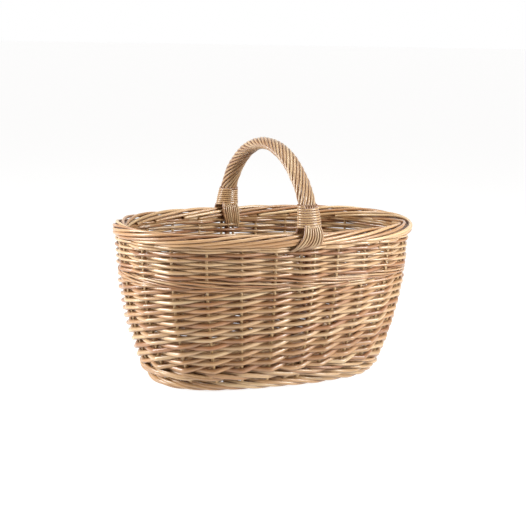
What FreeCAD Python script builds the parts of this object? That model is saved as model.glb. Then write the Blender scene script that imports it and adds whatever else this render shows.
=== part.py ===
# Oval willow market basket with a fixed roped handle over its width.
# Frame: +X along the length, +Z up, origin on the floor under the middle of the foot.  Millimetres.
#
# How the real thing is put together, and how the pieces below follow it:
#   base      eight cross sticks are pierced, four long sticks are threaded through the slits,
#             and rods are woven round both to fill the oval;
#   stakes    24 uprights are pushed into the edge of the base, pricked up and run through
#             every band of side weaving into the border;
#   sides     upsett wale, lower rand, middle wale, upper rand, one band above the other;
#   border    the plaited rim that closes the top;
#   foot      a rolled border under the wale that the basket stands on;
#   handle    a bow whose tapered legs stand in the side weave beside a stake, locked by a peg,
#             roped with a sheath of fine rods that parts into an outer and an inner fan at each
#             end, goes round the border, and is bound by a collar just above it.
import FreeCAD, Part
import math
import os
import Sketcher

App = FreeCAD
V = FreeCAD.Vector
doc = FreeCAD.newDocument("market_basket")

# ---------------------------------------------------------------- driving dimensions
SIZES = [
    # wall centre surface: foot and rim half length and half width, and how the side curves between them
    ("foot_half_length", 172.0), ("foot_half_width", 92.5),
    ("rim_half_length", 223.8), ("rim_half_width", 141.5),
    ("curve_height", 235.0), ("curve_power", 2.22), ("end_fullness", 0.88),
    # heights of the bands
    ("foot_top", 10.5), ("wale_bottom", 10.8), ("wale_top", 32.0),
    ("rand_low", 72.0), ("rand_high", 112.0), ("rand_top", 153.0),
    ("midwale_top", 171.0), ("upper_top", 215.0),
    ("rim_bottom", 215.2), ("rim_height", 20.3), ("rim_round", 8.0), ("rim_half", 10.0),
    ("wall_half", 5.6), ("wale_half", 6.4),
    ("foot_half", 7.5), ("foot_round", 3.0),
    # base
    ("base_bottom", 10.8), ("base_top", 26.4), ("base_half_length", 170.0), ("base_half_width", 90.8),
    ("base_flare", 5.2), ("stick_height", 19.0), ("cross_stick_dia", 7.0), ("cross_stick_pitch", 35.0),
    ("long_stick_wide", 6.0), ("long_stick_thick", 4.0), ("long_stick_pitch", 8.0), ("long_stick_half", 158.0),
    ("slit_wide", 31.0), ("slit_high", 4.2),
    # stakes
    ("stake_count", 24.0), ("stake_dia", 4.2), ("stake_butt_height", 13.2), ("stake_butt_length", 26.0),
    ("stake_bend", 13.0), ("stake_top", 226.0), ("handle_stake_shift", 10.0),
    # handle
    ("bow_dia", 10.0), ("bow_tip_dia", 5.0), ("bow_tip_height", 126.0), ("bow_tip_out", 133.9237), ("arch_spring", 236.0),
    ("arch_top", 348.0), ("arch_shoulder", 88.0), ("sheath_half_wide", 13.2), ("sheath_half_thick", 9.0),
    ("front_collar_bottom", 241.6), ("front_collar_top", 273.4),
    ("back_collar_bottom", 238.2), ("back_collar_top", 266.0),
    ("collar_wide_low", 18.6), ("collar_thick_low", 13.4), ("collar_wide_high", 15.6), ("collar_thick_high", 12.6),
    ("fan_wide", 25.0), ("fan_thick", 4.0), ("fan_lean", 16.0), ("inner_lean", 6.0),
    ("liner_dia", 4.2), ("liner_bottom", 140.0), ("liner_top", 212.0), ("liner_shift", 10.0),
    ("peg_dia", 3.0), ("peg_length", 13.0), ("peg_height", 204.0),
]
sheet = doc.addObject("Spreadsheet::Sheet", "dims")
S = dict(SIZES)


def cell(name, value):
    row = cell.row = getattr(cell, "row", 0) + 1
    sheet.set("A%d" % row, name)
    sheet.set("B%d" % row, repr(round(float(value), 4)))
    sheet.setAlias("B%d" % row, name)
    S[name] = round(float(value), 4)


for name_, value_ in SIZES:
    cell(name_, value_)


# ---------------------------------------------------------------- the oval
# Every level of the basket is an oval of four tangent arcs: two end arcs of radius r about (+-c, 0)
# and two side arcs of radius R.  An offset by t adds t to both radii and leaves the centres alone.
def oval_numbers(half_length, half_width):
    r = S["end_fullness"] * half_width
    c = half_length - r
    R = (c * c + half_width * half_width - r * r) / (2.0 * (half_width - r))
    return c, r, R


def spread(z):
    k = min(max(z / S["curve_height"], 0.0), 1.0)
    return 1.0 - (1.0 - k) ** S["curve_power"]


def halves(z):
    w = spread(z)
    return (S["foot_half_length"] + (S["rim_half_length"] - S["foot_half_length"]) * w,
            S["foot_half_width"] + (S["rim_half_width"] - S["foot_half_width"]) * w)


LEVELS = {"foot": 0.0, "wale": S["wale_bottom"], "randone": S["wale_top"], "randtwo": S["rand_low"],
          "randthree": S["rand_high"], "randfour": S["rand_top"], "midtop": S["midwale_top"], "uppertop": S["upper_top"]}
for level, z_ in LEVELS.items():
    c_, r_, R_ = oval_numbers(*halves(z_))
    cell("centre_" + level, c_)
    cell("end_" + level, r_)
    cell("side_" + level, R_)
for level, extra in (("baselow", 0.0), ("basehigh", S["base_flare"])):
    c_, r_, R_ = oval_numbers(S["base_half_length"], S["base_half_width"])
    cell("centre_" + level, c_)
    cell("end_" + level, r_ + extra)
    cell("side_" + level, R_ + extra)


def oval_point(half_length, half_width, share):
    """Point and outward direction at a share of the perimeter, from (0, -half_width) towards +X."""
    c, r, R = oval_numbers(half_length, half_width)
    d = R - half_width
    th = math.atan2(d, c)
    side, end = R * (math.pi / 2 - th), r * 2 * th
    total = 4 * side + 2 * end
    s = (share % 1.0) * total
    if s < side:
        a = -math.pi / 2 + s / R
        return V(R * math.cos(a), d + R * math.sin(a), 0), V(math.cos(a), math.sin(a), 0)
    s -= side
    if s < end:
        a = -th + s / r
        return V(c + r * math.cos(a), r * math.sin(a), 0), V(math.cos(a), math.sin(a), 0)
    s -= end
    if s < 2 * side:
        a = th + s / R
        return V(R * math.cos(a), -d + R * math.sin(a), 0), V(math.cos(a), math.sin(a), 0)
    s -= 2 * side
    if s < end:
        a = math.pi - th + s / r
        return V(-c + r * math.cos(a), r * math.sin(a), 0), V(math.cos(a), math.sin(a), 0)
    s -= end
    a = math.pi + th + s / R
    return V(R * math.cos(a), d + R * math.sin(a), 0), V(math.cos(a), math.sin(a), 0)


# ---------------------------------------------------------------- helpers for PartDesign
def plane(body, role):
    for f in body.Origin.OriginFeatures:
        if f.Role == role:
            return f
    raise RuntimeError("no plane " + role)


def new_body(name):
    b = doc.addObject("PartDesign::Body", name)
    return b


def new_sketch(body, name, role="XY_Plane", height=None):
    sk = body.newObject("Sketcher::SketchObject", name)
    sk.AttachmentSupport = [(plane(body, role), "")]
    sk.MapMode = "FlatFace"
    if height is not None:
        sk.setExpression(".AttachmentOffset.Base.z", height)
    return sk


def bind(sk, index, name, expression):
    sk.renameConstraint(index, name)
    sk.setExpression("Constraints." + name, expression)


def put_oval(sk, level, offset, tag):
    """Adds one closed oval of the named level, offset outwards, with its radii bound to the sheet."""
    t = eval_offset(offset)
    c, r, R = S["centre_" + level], S["end_" + level] + t, S["side_" + level] + t
    d = math.sqrt((R - r) ** 2 - c * c)
    th = math.atan2(d, c)
    up = V(0, 0, 1)
    n = sk.GeometryCount
    sk.addGeometry(Part.ArcOfCircle(Part.Circle(V(c, 0, 0), up, r), -th, th), False)
    sk.addGeometry(Part.ArcOfCircle(Part.Circle(V(0, -d, 0), up, R), th, math.pi - th), False)
    sk.addGeometry(Part.ArcOfCircle(Part.Circle(V(-c, 0, 0), up, r), math.pi - th, math.pi + th), False)
    sk.addGeometry(Part.ArcOfCircle(Part.Circle(V(0, d, 0), up, R), math.pi + th, 2 * math.pi - th), False)
    for k in range(4):
        sk.addConstraint(Sketcher.Constraint("Tangent", n + k, 2, n + (k + 1) % 4, 1))
    sk.addConstraint(Sketcher.Constraint("PointOnObject", n, 3, -1))
    sk.addConstraint(Sketcher.Constraint("PointOnObject", n + 2, 3, -1))
    bind(sk, sk.addConstraint(Sketcher.Constraint("DistanceX", -1, 1, n, 3, c)), tag + "centre", "dims.centre_" + level)
    bind(sk, sk.addConstraint(Sketcher.Constraint("DistanceX", n + 2, 3, -1, 1, c)), tag + "centreb", "dims.centre_" + level)
    plus = " + (" + offset + ")"
    bind(sk, sk.addConstraint(Sketcher.Constraint("Radius", n, r)), tag + "end", "dims.end_" + level + plus)
    sk.addConstraint(Sketcher.Constraint("Equal", n, n + 2))
    bind(sk, sk.addConstraint(Sketcher.Constraint("Radius", n + 1, R)), tag + "side", "dims.side_" + level + plus)
    sk.addConstraint(Sketcher.Constraint("Equal", n + 1, n + 3))


def eval_offset(text):
    """The number of an offset such as '-dims.wall_half' or '0'."""
    text = text.replace(" ", "")
    if text == "0":
        return 0.0
    sign = -1.0 if text.startswith("-") else 1.0
    return sign * S[text.lstrip("-").replace("dims.", "")]


def band(name, levels, heights, half):
    """A closed band of side weaving: an oval loft with the same loft, smaller, taken out of it."""
    body = new_body(name + "_body")
    outer, inner = [], []
    for k, (level, height) in enumerate(zip(levels, heights)):
        sk = new_sketch(body, name + "_out%d" % k, height=height)
        put_oval(sk, level, half, "o")
        outer.append(sk)
    for k, (level, height) in enumerate(zip(levels, heights)):
        sk = new_sketch(body, name + "_in%d" % k, height=height)
        put_oval(sk, level, "-" + half, "i")
        inner.append(sk)
    doc.recompute()
    add = body.newObject("PartDesign::AdditiveLoft", name + "_outer")
    add.Profile = outer[0]
    add.Sections = outer[1:]
    add.Ruled = len(outer) == 2
    doc.recompute()
    cut = body.newObject("PartDesign::SubtractiveLoft", name + "_inner")
    cut.Profile = inner[0]
    cut.Sections = inner[1:]
    cut.Ruled = len(inner) == 2
    doc.recompute()
    return body


finished = {}


def hide_under(label, obj):
    obj.Label = label
    finished[label] = obj
    return obj


# ---------------------------------------------------------------- stakes
# Each stake lies in an upright plane: a butt in the base, a bend, and one long arc up the side.
def stake_solid(share, shift=0.0):
    points = []
    for z in (34.0, 104.0, S["stake_top"]):
        p, n = oval_point(*halves(z), share)
        points.append(V(p.x + shift, p.y, z))
    low, mid, top = points
    arc = Part.Arc(low, mid, top)
    tangent = arc.tangent(arc.FirstParameter)[0]
    out = V(tangent.x, tangent.y, 0)
    tilt = math.atan2(tangent.z, out.Length)
    p0, n0 = oval_point(*halves(20.0), share)
    out = out.normalize() if out.Length > 1e-6 else n0
    # straight from the arc's foot down to the bend, then the bend, then the butt
    zb, rho = S["stake_butt_height"], S["stake_bend"]
    bend_top_z = zb + rho * (1 - math.cos(tilt))
    run = (low.z - bend_top_z) / math.sin(tilt)
    b1 = low - tangent.normalize() * run
    b0 = V(b1.x, b1.y, zb) - out * (rho * math.sin(tilt))
    bm_angle = tilt / 2
    bm = V(b0.x, b0.y, zb) + out * (rho * math.sin(bm_angle)) + V(0, 0, rho * (1 - math.cos(bm_angle)))
    start = b0 - out * S["stake_butt_length"]
    wire = Part.Wire([Part.LineSegment(start, b0).toShape(), Part.Arc(b0, bm, b1).toShape(),
                      Part.LineSegment(b1, low).toShape(), arc.toShape()])
    ring = Part.Wire([Part.Circle(start, out, S["stake_dia"] / 2).toShape()])
    solid = wire.makePipeShell([ring], True, True)
    want = math.pi * (S["stake_dia"] / 2) ** 2 * wire.Length
    if abs(solid.Volume / want - 1) > 0.02 or not solid.isValid():
        raise RuntimeError("a stake's sweep is off: %.0f for %.0f" % (solid.Volume, want))
    return solid


count = int(S["stake_count"])
stakes = []
for k in range(count):
    shift = 0.0
    if k == 0:
        shift = S["handle_stake_shift"]
    if k == count // 2:
        shift = -S["handle_stake_shift"]
    stakes.append(stake_solid(k / float(count), shift))
side_stakes = doc.addObject("Part::Feature", "side_stakes")
side_stakes.Shape = Part.makeCompound(stakes)
hide_under("side_stakes", side_stakes)

# ---------------------------------------------------------------- base sticks
# Cross sticks: round sticks across the width, each pierced by one slit for the long sticks.
cross = []
half_pitch = S["cross_stick_pitch"] / 2
for k in range(-4, 4):
    x = half_pitch + k * S["cross_stick_pitch"]
    # the stick runs to just inside the edge of the base
    c, r, R = oval_numbers(S["base_half_length"] - 3, S["base_half_width"] - 3)
    d = R - (S["base_half_width"] - 3)
    reach = math.sqrt(r * r - (abs(x) - c) ** 2) if abs(x) > c + r * math.cos(math.atan2(d, c)) else math.sqrt(R * R - x * x) - d
    stick = doc.addObject("Part::Cylinder", "cross_stick_%d" % (k + 5))
    stick.setExpression("Radius", "dims.cross_stick_dia / 2")
    stick.Height = 2 * reach
    stick.Placement = FreeCAD.Placement(V(x, -reach, S["stick_height"]), FreeCAD.Rotation(V(1, 0, 0), -90))
    stick.setExpression(".Placement.Base.z", "dims.stick_height")
    slit = doc.addObject("Part::Box", "slit_%d" % (k + 5))
    slit.setExpression("Length", "dims.cross_stick_dia + 2")
    slit.setExpression("Width", "dims.slit_wide")
    slit.setExpression("Height", "dims.slit_high")
    slit.Placement.Base = V(x - S["cross_stick_dia"] / 2 - 1, 0, 0)
    slit.setExpression(".Placement.Base.y", "-dims.slit_wide / 2")
    slit.setExpression(".Placement.Base.z", "dims.stick_height - dims.slit_high / 2")
    pierced = doc.addObject("Part::Cut", "pierced_stick_%d" % (k + 5))
    pierced.Base, pierced.Tool = stick, slit
    cross.append(pierced)
cross_sticks = doc.addObject("Part::Compound", "base_cross_sticks")
cross_sticks.Links = cross
hide_under("base_cross_sticks", cross_sticks)

# Long sticks: four flattened rods side by side through the slits.
long_body = new_body("long_stick_body")
sk = new_sketch(long_body, "long_stick_section", "YZ_Plane")
w2, h2 = S["long_stick_wide"] / 2, S["long_stick_thick"] / 2
sk.addGeometry(Part.LineSegment(V(-(w2 - h2), h2, 0), V(w2 - h2, h2, 0)), False)
sk.addGeometry(Part.ArcOfCircle(Part.Circle(V(w2 - h2, 0, 0), V(0, 0, 1), h2), -math.pi / 2, math.pi / 2), False)
sk.addGeometry(Part.LineSegment(V(w2 - h2, -h2, 0), V(-(w2 - h2), -h2, 0)), False)
sk.addGeometry(Part.ArcOfCircle(Part.Circle(V(-(w2 - h2), 0, 0), V(0, 0, 1), h2), math.pi / 2, 3 * math.pi / 2), False)
sk.addConstraint(Sketcher.Constraint("Tangent", 0, 2, 1, 2))
sk.addConstraint(Sketcher.Constraint("Tangent", 1, 1, 2, 1))
sk.addConstraint(Sketcher.Constraint("Tangent", 2, 2, 3, 2))
sk.addConstraint(Sketcher.Constraint("Tangent", 3, 1, 0, 1))
sk.addConstraint(Sketcher.Constraint("PointOnObject", 1, 3, -1))
sk.addConstraint(Sketcher.Constraint("PointOnObject", 3, 3, -1))
bind(sk, sk.addConstraint(Sketcher.Constraint("Radius", 1, h2)), "edge", "dims.long_stick_thick / 2")
bind(sk, sk.addConstraint(Sketcher.Constraint("DistanceX", -1, 1, 1, 3, w2 - h2)), "reach", "(dims.long_stick_wide - dims.long_stick_thick) / 2")
bind(sk, sk.addConstraint(Sketcher.Constraint("DistanceX", 3, 3, -1, 1, w2 - h2)), "reachb", "(dims.long_stick_wide - dims.long_stick_thick) / 2")
doc.recompute()
pad = long_body.newObject("PartDesign::Pad", "long_stick_pad")
pad.Profile = sk
pad.setExpression("Length", "2 * dims.long_stick_half")
pad.Midplane = True
doc.recompute()
long_parts = []
for k in range(4):
    copy = doc.addObject("App::Link", "long_stick_%d" % (k + 1))
    copy.LinkedObject = long_body
    copy.LinkPlacement = FreeCAD.Placement(V(0, (k - 1.5) * S["long_stick_pitch"], S["stick_height"]), FreeCAD.Rotation())
    long_parts.append(copy)
long_sticks = doc.addObject("Part::Compound", "base_long_sticks")
long_sticks.Links = long_parts
hide_under("base_long_sticks", long_sticks)
doc.recompute()

# ---------------------------------------------------------------- handle bow, roping and pegs
spring, top_z, shoulder = S["arch_spring"], S["arch_top"], S["arch_shoulder"]
foot_y = S["rim_half_width"]
rise = top_z - spring
inset = foot_y - shoulder
crown = (inset * inset + rise * rise - shoulder * shoulder) / (2 * (rise - shoulder))
crown_z = top_z - crown
turn = math.atan2(spring - crown_z, inset)  # direction of both centres' line
cell("arch_crown", crown)
cell("arch_inset", inset)


def arc_piece(tag, centre_y, centre_z, radius, start, sweep_angle, hollow):
    """A section turned about an arc's centre; start and sweep_angle in degrees, about +X from +Y."""
    sk = doc.addObject("Sketcher::SketchObject", "section_" + tag)
    # the sketch's own X runs along the basket, its Y outwards from the arc's centre
    sk.Placement = FreeCAD.Placement(V(0, centre_y, centre_z), FreeCAD.Rotation(V(1, 0, 0), start))
    ring_id = sk.addGeometry(Part.Circle(V(0, radius, 0), V(0, 0, 1), S["bow_dia"] / 2), False)
    sk.addConstraint(Sketcher.Constraint("PointOnObject", ring_id, 3, -2))
    sk.addConstraint(Sketcher.Constraint("DistanceY", -1, 1, ring_id, 3, radius))
    bind(sk, sk.addConstraint(Sketcher.Constraint("Radius", ring_id, S["bow_dia"] / 2)), "bow", "dims.bow_dia / 2")
    if hollow:
        wide, thick = S["sheath_half_wide"], S["sheath_half_thick"]
        oval_id = sk.addGeometry(Part.Ellipse(V(wide, radius, 0), V(0, radius + thick, 0), V(0, radius, 0)), False)
        sk.exposeInternalGeometry(oval_id)
        sk.addConstraint(Sketcher.Constraint("Horizontal", oval_id + 1))
        sk.addConstraint(Sketcher.Constraint("Coincident", oval_id, 3, ring_id, 3))
        bind(sk, sk.addConstraint(Sketcher.Constraint("Distance", oval_id + 1, 2 * wide)), "wide", "2 * dims.sheath_half_wide")
        bind(sk, sk.addConstraint(Sketcher.Constraint("Distance", oval_id + 2, 2 * thick)), "thick", "2 * dims.sheath_half_thick")
    doc.recompute()
    turned = doc.addObject("Part::Revolution", "turned_" + tag)
    turned.Source = sk
    turned.Axis = V(1, 0, 0)
    turned.Base = V(0, centre_y, centre_z)
    turned.Angle = sweep_angle
    turned.Solid = True
    return turned


turn_deg = math.degrees(turn)
bow_parts = [
    arc_piece("bow_front", -inset, spring, shoulder, 180 - turn_deg, turn_deg, False),
    arc_piece("bow_crown", 0, crown_z, crown, turn_deg, 180 - 2 * turn_deg, False),
    arc_piece("bow_back", inset, spring, shoulder, 0, turn_deg, False),
]
for tag, sign in (("front", -1), ("back", 1)):
    post = doc.addObject("Part::Cylinder", "bow_%s_post" % tag)
    post.setExpression("Radius", "dims.bow_dia / 2")
    post.setExpression("Height", "dims.arch_spring - dims.upper_top + 2")
    post.Placement.Base = V(0, sign * foot_y, S["upper_top"] - 2)
    post.setExpression(".Placement.Base.y", "%d * dims.rim_half_width" % sign)
    post.setExpression(".Placement.Base.z", "dims.upper_top - 2")
    tip_y = sign * S["bow_tip_out"]
    drop = V(0, tip_y - sign * foot_y, S["bow_tip_height"] - S["upper_top"])
    cone = doc.addObject("Part::Cone", "bow_%s_leg" % tag)
    cone.setExpression("Radius1", "dims.bow_dia / 2 - 0.15")
    cone.setExpression("Radius2", "dims.bow_tip_dia / 2")
    cone.Height = drop.Length
    cone.Placement = FreeCAD.Placement(V(0, sign * foot_y, S["upper_top"]), FreeCAD.Rotation(V(0, 0, 1), drop))
    bow_parts += [post, cone]
bow_whole = doc.addObject("Part::MultiFuse", "bow_whole")
bow_whole.Shapes = bow_parts
doc.recompute()

pegs = []
for tag, sign in (("front", -1), ("back", 1)):
    share = (S["peg_height"] - S["bow_tip_height"]) / (S["upper_top"] - S["bow_tip_height"])
    y = sign * (S["bow_tip_out"] * (1 - share) + foot_y * share)
    peg = doc.addObject("Part::Cylinder", "%s_handle_peg" % tag)
    peg.setExpression("Radius", "dims.peg_dia / 2")
    peg.setExpression("Height", "dims.peg_length")
    peg.Placement = FreeCAD.Placement(V(-S["peg_length"] / 2, y, S["peg_height"]), FreeCAD.Rotation(V(0, 1, 0), 90))
    peg.setExpression(".Placement.Base.x", "-dims.peg_length / 2")
    peg.setExpression(".Placement.Base.z", "dims.peg_height")
    pegs.append(hide_under("%s_handle_peg" % tag, peg))
handle_bow = doc.addObject("Part::Cut", "handle_bow")
handle_bow.Base = bow_whole
peg_tool = doc.addObject("Part::Compound", "peg_tool")
peg_tool.Links = pegs
handle_bow.Tool = peg_tool
hide_under("handle_bow", handle_bow)
doc.recompute()

# Roping: one sheath of the true outer section, round the bow from collar foot to collar foot.
a_front = math.degrees(math.asin((S["front_collar_bottom"] - spring) / shoulder))
a_back = math.degrees(math.asin((S["back_collar_bottom"] - spring) / shoulder))
handle_roping = doc.addObject("Part::MultiFuse", "handle_roping")
handle_roping.Shapes = [
    arc_piece("sheath_front", -inset, spring, shoulder, 180 - turn_deg, turn_deg - a_front, True),
    arc_piece("sheath_crown", 0, crown_z, crown, turn_deg, 180 - 2 * turn_deg, True),
    arc_piece("sheath_back", inset, spring, shoulder, a_back, turn_deg - a_back, True),
]
hide_under("handle_roping", handle_roping)
doc.recompute()


# Collars: the binding round each end of the roping, a little wider at its foot.
def collar(tag, sign):
    low, high = S[tag + "_collar_bottom"], S[tag + "_collar_top"]
    body = new_body(tag + "_collar_body")
    sections = []
    for k in range(3):
        f = k / 2.0
        z = low + (high - low) * f
        y = sign * (inset + math.sqrt(shoulder ** 2 - (z - spring) ** 2))
        wide = S["collar_wide_low"] + (S["collar_wide_high"] - S["collar_wide_low"]) * f
        thick = S["collar_thick_low"] + (S["collar_thick_high"] - S["collar_thick_low"]) * f
        sk = new_sketch(body, "%s_collar_%d" % (tag, k), "XY_Plane",
                        "dims.%s_collar_bottom + (dims.%s_collar_top - dims.%s_collar_bottom) * %g" % (tag, tag, tag, f))
        sk.addGeometry(Part.Ellipse(V(wide, y, 0), V(0, y + thick, 0), V(0, y, 0)), False)
        sk.exposeInternalGeometry(0)
        doc.recompute()
        # the exposed major and minor axes carry the sizes
        sk.addConstraint(Sketcher.Constraint("Horizontal", 1))
        sk.addConstraint(Sketcher.Constraint("PointOnObject", 0, 3, -2))
        sk.addConstraint(Sketcher.Constraint("DistanceY", -1, 1, 0, 3, y))
        bind(sk, sk.addConstraint(Sketcher.Constraint("Distance", 1, 2 * wide)), "wide",
             "2 * (dims.collar_wide_low + (dims.collar_wide_high - dims.collar_wide_low) * %g)" % f)
        bind(sk, sk.addConstraint(Sketcher.Constraint("Distance", 2, 2 * thick)), "thick",
             "2 * (dims.collar_thick_low + (dims.collar_thick_high - dims.collar_thick_low) * %g)" % f)
        sections.append(sk)
    doc.recompute()
    loft = body.newObject("PartDesign::AdditiveLoft", tag + "_collar_loft")
    loft.Profile = sections[0]
    loft.Sections = sections[1:]
    doc.recompute()
    tool = doc.addObject("Part::Compound", tag + "_collar_core")
    tool.Links = [handle_roping, handle_bow]
    cut = doc.addObject("Part::Cut", tag + "_handle_collar")
    cut.Base, cut.Tool = body, tool
    return hide_under(tag + "_handle_collar", cut)


front_collar = collar("front", -1)
back_collar = collar("back", 1)
doc.recompute()


# Fans: below each collar the roping rods part, pass outside and inside the border and go into the
# side weave under it, leaning one way round the basket.
def fan(tag, sign, side):
    top = S[tag + "_collar_bottom"] - (0.2 if side > 0 else 1.2)
    body = new_body("%s_%s_fan" % (tag, "outer" if side > 0 else "inner"))
    half_w, half_t = S["fan_wide"] / 2, S["fan_thick"] / 2
    more = 0.0 if side > 0 else 1.3
    stations = [(top, 7.3, 0.0), (236.0 if top > 240 else 233.6, 12.2 + more, 0.12), (226.0, 12.5 + more, 0.42),
                (217.0, 12.2 + more, 0.75), (207.5, 8.3 + more, 1.0)]
    sections = []
    for k, (z, off, f) in enumerate(stations):
        y = sign * (foot_y + side * off)
        x = sign * (S["fan_lean"] if side > 0 else S["inner_lean"]) * f
        sk = new_sketch(body, body.Name + "_%d" % k, "XY_Plane", "%g" % z)
        pts = [V(x - half_w, y - half_t, 0), V(x + half_w, y - half_t, 0), V(x + half_w, y + half_t, 0), V(x - half_w, y + half_t, 0)]
        for j in range(4):
            sk.addGeometry(Part.LineSegment(pts[j], pts[(j + 1) % 4]), False)
        for j in range(4):
            sk.addConstraint(Sketcher.Constraint("Coincident", j, 2, (j + 1) % 4, 1))
        for j in (0, 2):
            sk.addConstraint(Sketcher.Constraint("Horizontal", j))
        for j in (1, 3):
            sk.addConstraint(Sketcher.Constraint("Vertical", j))
        bind(sk, sk.addConstraint(Sketcher.Constraint("Distance", 0, 2 * half_w)), "wide", "dims.fan_wide")
        bind(sk, sk.addConstraint(Sketcher.Constraint("Distance", 1, 2 * half_t)), "thick", "dims.fan_thick")
        sk.addConstraint(Sketcher.Constraint("DistanceX", -1, 1, 0, 1, pts[0].x))
        sk.addConstraint(Sketcher.Constraint("DistanceY", -1, 1, 0, 1, pts[0].y))
        sections.append(sk)
    doc.recompute()
    loft = body.newObject("PartDesign::AdditiveLoft", body.Name + "_loft")
    loft.Profile = sections[0]
    loft.Sections = sections[1:]
    loft.Ruled = True
    doc.recompute()
    return hide_under("%s_%s_strands" % (tag, "outer" if side > 0 else "inner"), body)


for tag_, sign_ in (("front", -1), ("back", 1)):
    for side_ in (1, -1):
        fan(tag_, sign_, side_)

# Liners: a short rod beside each bow leg that keeps the slot for it open.
liners = []
for tag, sign in (("front", -1), ("back", 1)):
    lo = V(sign * S["liner_shift"], sign * halves(S["liner_bottom"])[1], S["liner_bottom"])
    hi = V(sign * S["liner_shift"], sign * halves(S["liner_top"])[1], S["liner_top"])
    rod = doc.addObject("Part::Cylinder", "%s_handle_liner" % tag)
    rod.setExpression("Radius", "dims.liner_dia / 2")
    rod.Height = (hi - lo).Length
    rod.Placement = FreeCAD.Placement(lo, FreeCAD.Rotation(V(0, 0, 1), hi - lo))
    liners.append(hide_under("%s_handle_liner" % tag, rod))
doc.recompute()

# ---------------------------------------------------------------- what runs through the weaving
threaded = doc.addObject("Part::Compound", "threaded")
threaded.Links = [side_stakes, handle_bow] + liners + pegs
in_base = doc.addObject("Part::Compound", "in_base")
in_base.Links = [side_stakes, cross_sticks, long_sticks]
doc.recompute()


def through(body, label, tool):
    cut = doc.addObject("Part::Cut", label)
    cut.Base, cut.Tool = body, tool
    return hide_under(label, cut)


# ---------------------------------------------------------------- base weave
base_body = new_body("base_body")
low_sk = new_sketch(base_body, "base_low", height="dims.base_bottom")
put_oval(low_sk, "baselow", "0", "o")
high_sk = new_sketch(base_body, "base_high", height="dims.base_top")
put_oval(high_sk, "basehigh", "0", "o")
doc.recompute()
loft = base_body.newObject("PartDesign::AdditiveLoft", "base_loft")
loft.Profile = low_sk
loft.Sections = [high_sk]
loft.Ruled = True
doc.recompute()
through(base_body, "base_weave", in_base)

# ---------------------------------------------------------------- side bands
through(band("upsett_wale", ["wale", "randone"], ["dims.wale_bottom", "dims.wale_top"], "dims.wale_half"), "upsett_wale", threaded)
# the rand is one weave; it is cut into three bands of the same wall so that each stays simple
for k_, (name_, low_, high_) in enumerate((("lower_rand_bottom", "randone", "randtwo"), ("lower_rand_middle", "randtwo", "randthree"),
                                           ("lower_rand_top", "randthree", "randfour"))):
    edge_ = ("dims.wale_top", "dims.rand_low", "dims.rand_high", "dims.rand_top")
    through(band(name_, [low_, high_], [edge_[k_] + " + 0.1", edge_[k_ + 1]], "dims.wall_half"), name_, threaded)
through(band("middle_wale", ["randfour", "midtop"], ["dims.rand_top + 0.1", "dims.midwale_top"], "dims.wall_half"), "middle_wale", threaded)
through(band("upper_rand", ["midtop", "uppertop"], ["dims.midwale_top + 0.1", "dims.upper_top"], "dims.wall_half"), "upper_rand", threaded)


# ---------------------------------------------------------------- foot and rim
def ring(name, level, half, bottom, height, round_all):
    body = new_body(name + "_body")
    sk = new_sketch(body, name + "_plan", height=bottom)
    put_oval(sk, level, half, "o")
    put_oval(sk, level, "-" + half, "i")
    doc.recompute()
    pad = body.newObject("PartDesign::Pad", name + "_pad")
    pad.Profile = sk
    pad.setExpression("Length", height)
    doc.recompute()
    edges = []
    for k, e in enumerate(pad.Shape.Edges):
        zs = [v.Z for v in e.Vertexes]
        if max(zs) - min(zs) < 1e-6:
            edges.append("Edge%d" % (k + 1))
    fil = body.newObject("PartDesign::Fillet", name + "_round")
    fil.Base = (pad, edges)
    fil.setExpression("Radius", round_all)
    doc.recompute()
    return body


foot = ring("foot_border", "foot", "dims.foot_half", "0", "dims.foot_top", "dims.foot_round")
through(foot, "foot_border", side_stakes)
rim = ring("rim_border", "uppertop", "dims.rim_half", "dims.rim_bottom", "dims.rim_height", "dims.rim_round")
through(rim, "rim_border", threaded)
doc.recompute()

# ---------------------------------------------------------------- check and write
bad = []
for obj in doc.Objects:
    if "Invalid" in obj.State or "Error" in obj.State:
        bad.append("%s: %s" % (obj.Name, obj.State))
if bad:
    raise RuntimeError("failed objects: " + "; ".join(bad))
os.makedirs("parts", exist_ok=True)
for old in os.listdir("parts"):
    if old.endswith(".step"):
        os.remove(os.path.join("parts", old))
for label, obj in sorted(finished.items()):
    shape = obj.Shape
    if shape.isNull() or not shape.isValid() or not shape.Solids:
        raise RuntimeError("bad shape: " + label)
    shape.exportStep("parts/%s.step" % label)
    box = shape.BoundBox
    print("%-22s solids %2d  volume %9.0f mm3  x %7.1f %7.1f  y %7.1f %7.1f  z %7.1f %7.1f"
          % (label, len(shape.Solids), shape.Volume, box.XMin, box.XMax, box.YMin, box.YMax, box.ZMin, box.ZMax))
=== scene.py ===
# Oval willow market basket: every rod, stake and wrapping as its own tube, round the CAD frame.
import math

import bpy
import numpy as np
from mathutils import Matrix, Vector


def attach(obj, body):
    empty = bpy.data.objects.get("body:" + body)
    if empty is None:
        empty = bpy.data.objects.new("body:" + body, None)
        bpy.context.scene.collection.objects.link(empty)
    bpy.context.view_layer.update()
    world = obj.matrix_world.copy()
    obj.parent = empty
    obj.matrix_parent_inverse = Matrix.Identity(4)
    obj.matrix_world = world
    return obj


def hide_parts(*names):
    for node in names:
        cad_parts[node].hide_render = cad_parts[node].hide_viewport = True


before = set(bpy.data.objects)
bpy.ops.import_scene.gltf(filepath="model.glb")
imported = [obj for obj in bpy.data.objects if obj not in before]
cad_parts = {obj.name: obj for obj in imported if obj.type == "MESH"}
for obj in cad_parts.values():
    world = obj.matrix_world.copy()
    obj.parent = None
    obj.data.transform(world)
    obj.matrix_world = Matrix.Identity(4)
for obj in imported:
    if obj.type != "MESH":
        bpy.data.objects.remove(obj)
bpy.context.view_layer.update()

MM = 0.001
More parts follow.
